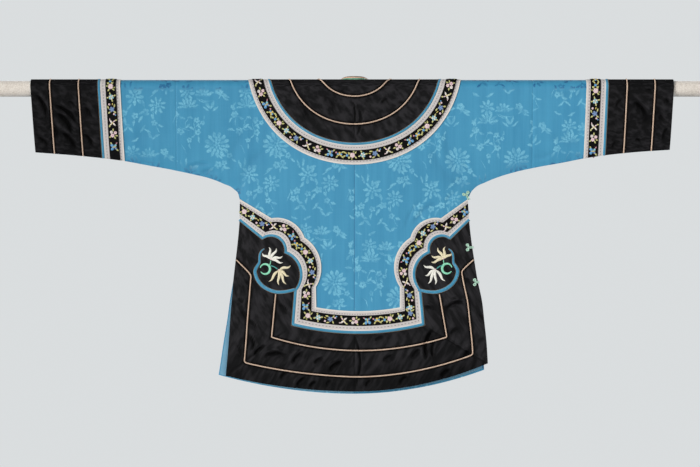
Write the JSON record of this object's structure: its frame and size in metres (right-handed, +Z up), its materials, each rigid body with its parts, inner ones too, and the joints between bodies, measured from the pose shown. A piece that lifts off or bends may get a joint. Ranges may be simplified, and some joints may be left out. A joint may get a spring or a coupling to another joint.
{
  "type": "chinese jacket on a display rod",
  "caption": "Wide-sleeved silk jacket with a round satin yoke, ribbon bands and a lobed satin hem border, hung flat on a padded rod.",
  "frame": {"origin": "middle of the display rod, on its axis, where the rod is held", "axes": "+X along the rod towards the jacket's right sleeve as seen from its back, +Z up, the jacket's back faces -Y"},
  "size_m": [1.58, 0.048, 0.6674],
  "materials": {
    "blue_damask": "silk damask, soft satin sheen",
    "black_satin": "black silk satin",
    "grey_ribbon": "woven ribbon, matt",
    "flower_ribbon": "black ribbon with embroidered flowers",
    "blue_bias": "blue satin binding",
    "peach_piping": "peach silk piping",
    "pale_lining": "pale blue plain silk",
    "mint_cord": "pale green silk cord and binding",
    "rod_cloth": "cream cotton jersey over padding"
  },
  "bodies": {
    "root": {"body_left": "blue_damask", "body_right": "blue_damask", "border_back_foot": "black_satin", "border_back_left": "black_satin", "border_back_right": "black_satin", "border_front_foot": "black_satin", "border_front_left": "black_satin", "border_front_right": "black_satin", "collar": "mint_cord", "cuff_bias_left": "blue_bias", "cuff_bias_right": "blue_bias", "cuff_flowers_left": "flower_ribbon", "cuff_flowers_right": "flower_ribbon", "cuff_left": "black_satin", "cuff_piping_1_left": "peach_piping", "cuff_piping_1_right": "peach_piping", "cuff_piping_2_left": "peach_piping", "cuff_piping_2_right": "peach_piping", "cuff_ribbon_left": "grey_ribbon", "cuff_ribbon_right": "grey_ribbon", "cuff_right": "black_satin", "curl_back_left": "blue_bias", "curl_back_right": "blue_bias", "curl_front_left": "blue_bias", "curl_front_right": "blue_bias", "display_rod": "rod_cloth", "frog_chest": "mint_cord", "frog_neck": "mint_cord", "frog_side_lower": "mint_cord", "frog_side_upper": "mint_cord", "frog_underarm": "mint_cord", "front_flap": "blue_damask", "front_lining": "pale_lining", "hem_bias_back": "blue_bias", "hem_bias_front": "blue_bias", "hem_flowers_back": "flower_ribbon", "hem_flowers_front": "flower_ribbon", "hem_piping_inner_back": "peach_piping", "hem_piping_inner_front": "peach_piping", "hem_piping_outer_back": "peach_piping", "hem_piping_outer_front": "peach_piping", "hem_ribbon_back": "grey_ribbon", "hem_ribbon_front": "grey_ribbon", "sleeve_left": "blue_damask", "sleeve_right": "blue_damask", "yoke": "black_satin", "yoke_bias": "blue_bias", "yoke_flowers": "flower_ribbon", "yoke_piping_1": "peach_piping", "yoke_piping_2": "peach_piping", "yoke_ribbon": "grey_ribbon"}
  },
  "joints": []
}
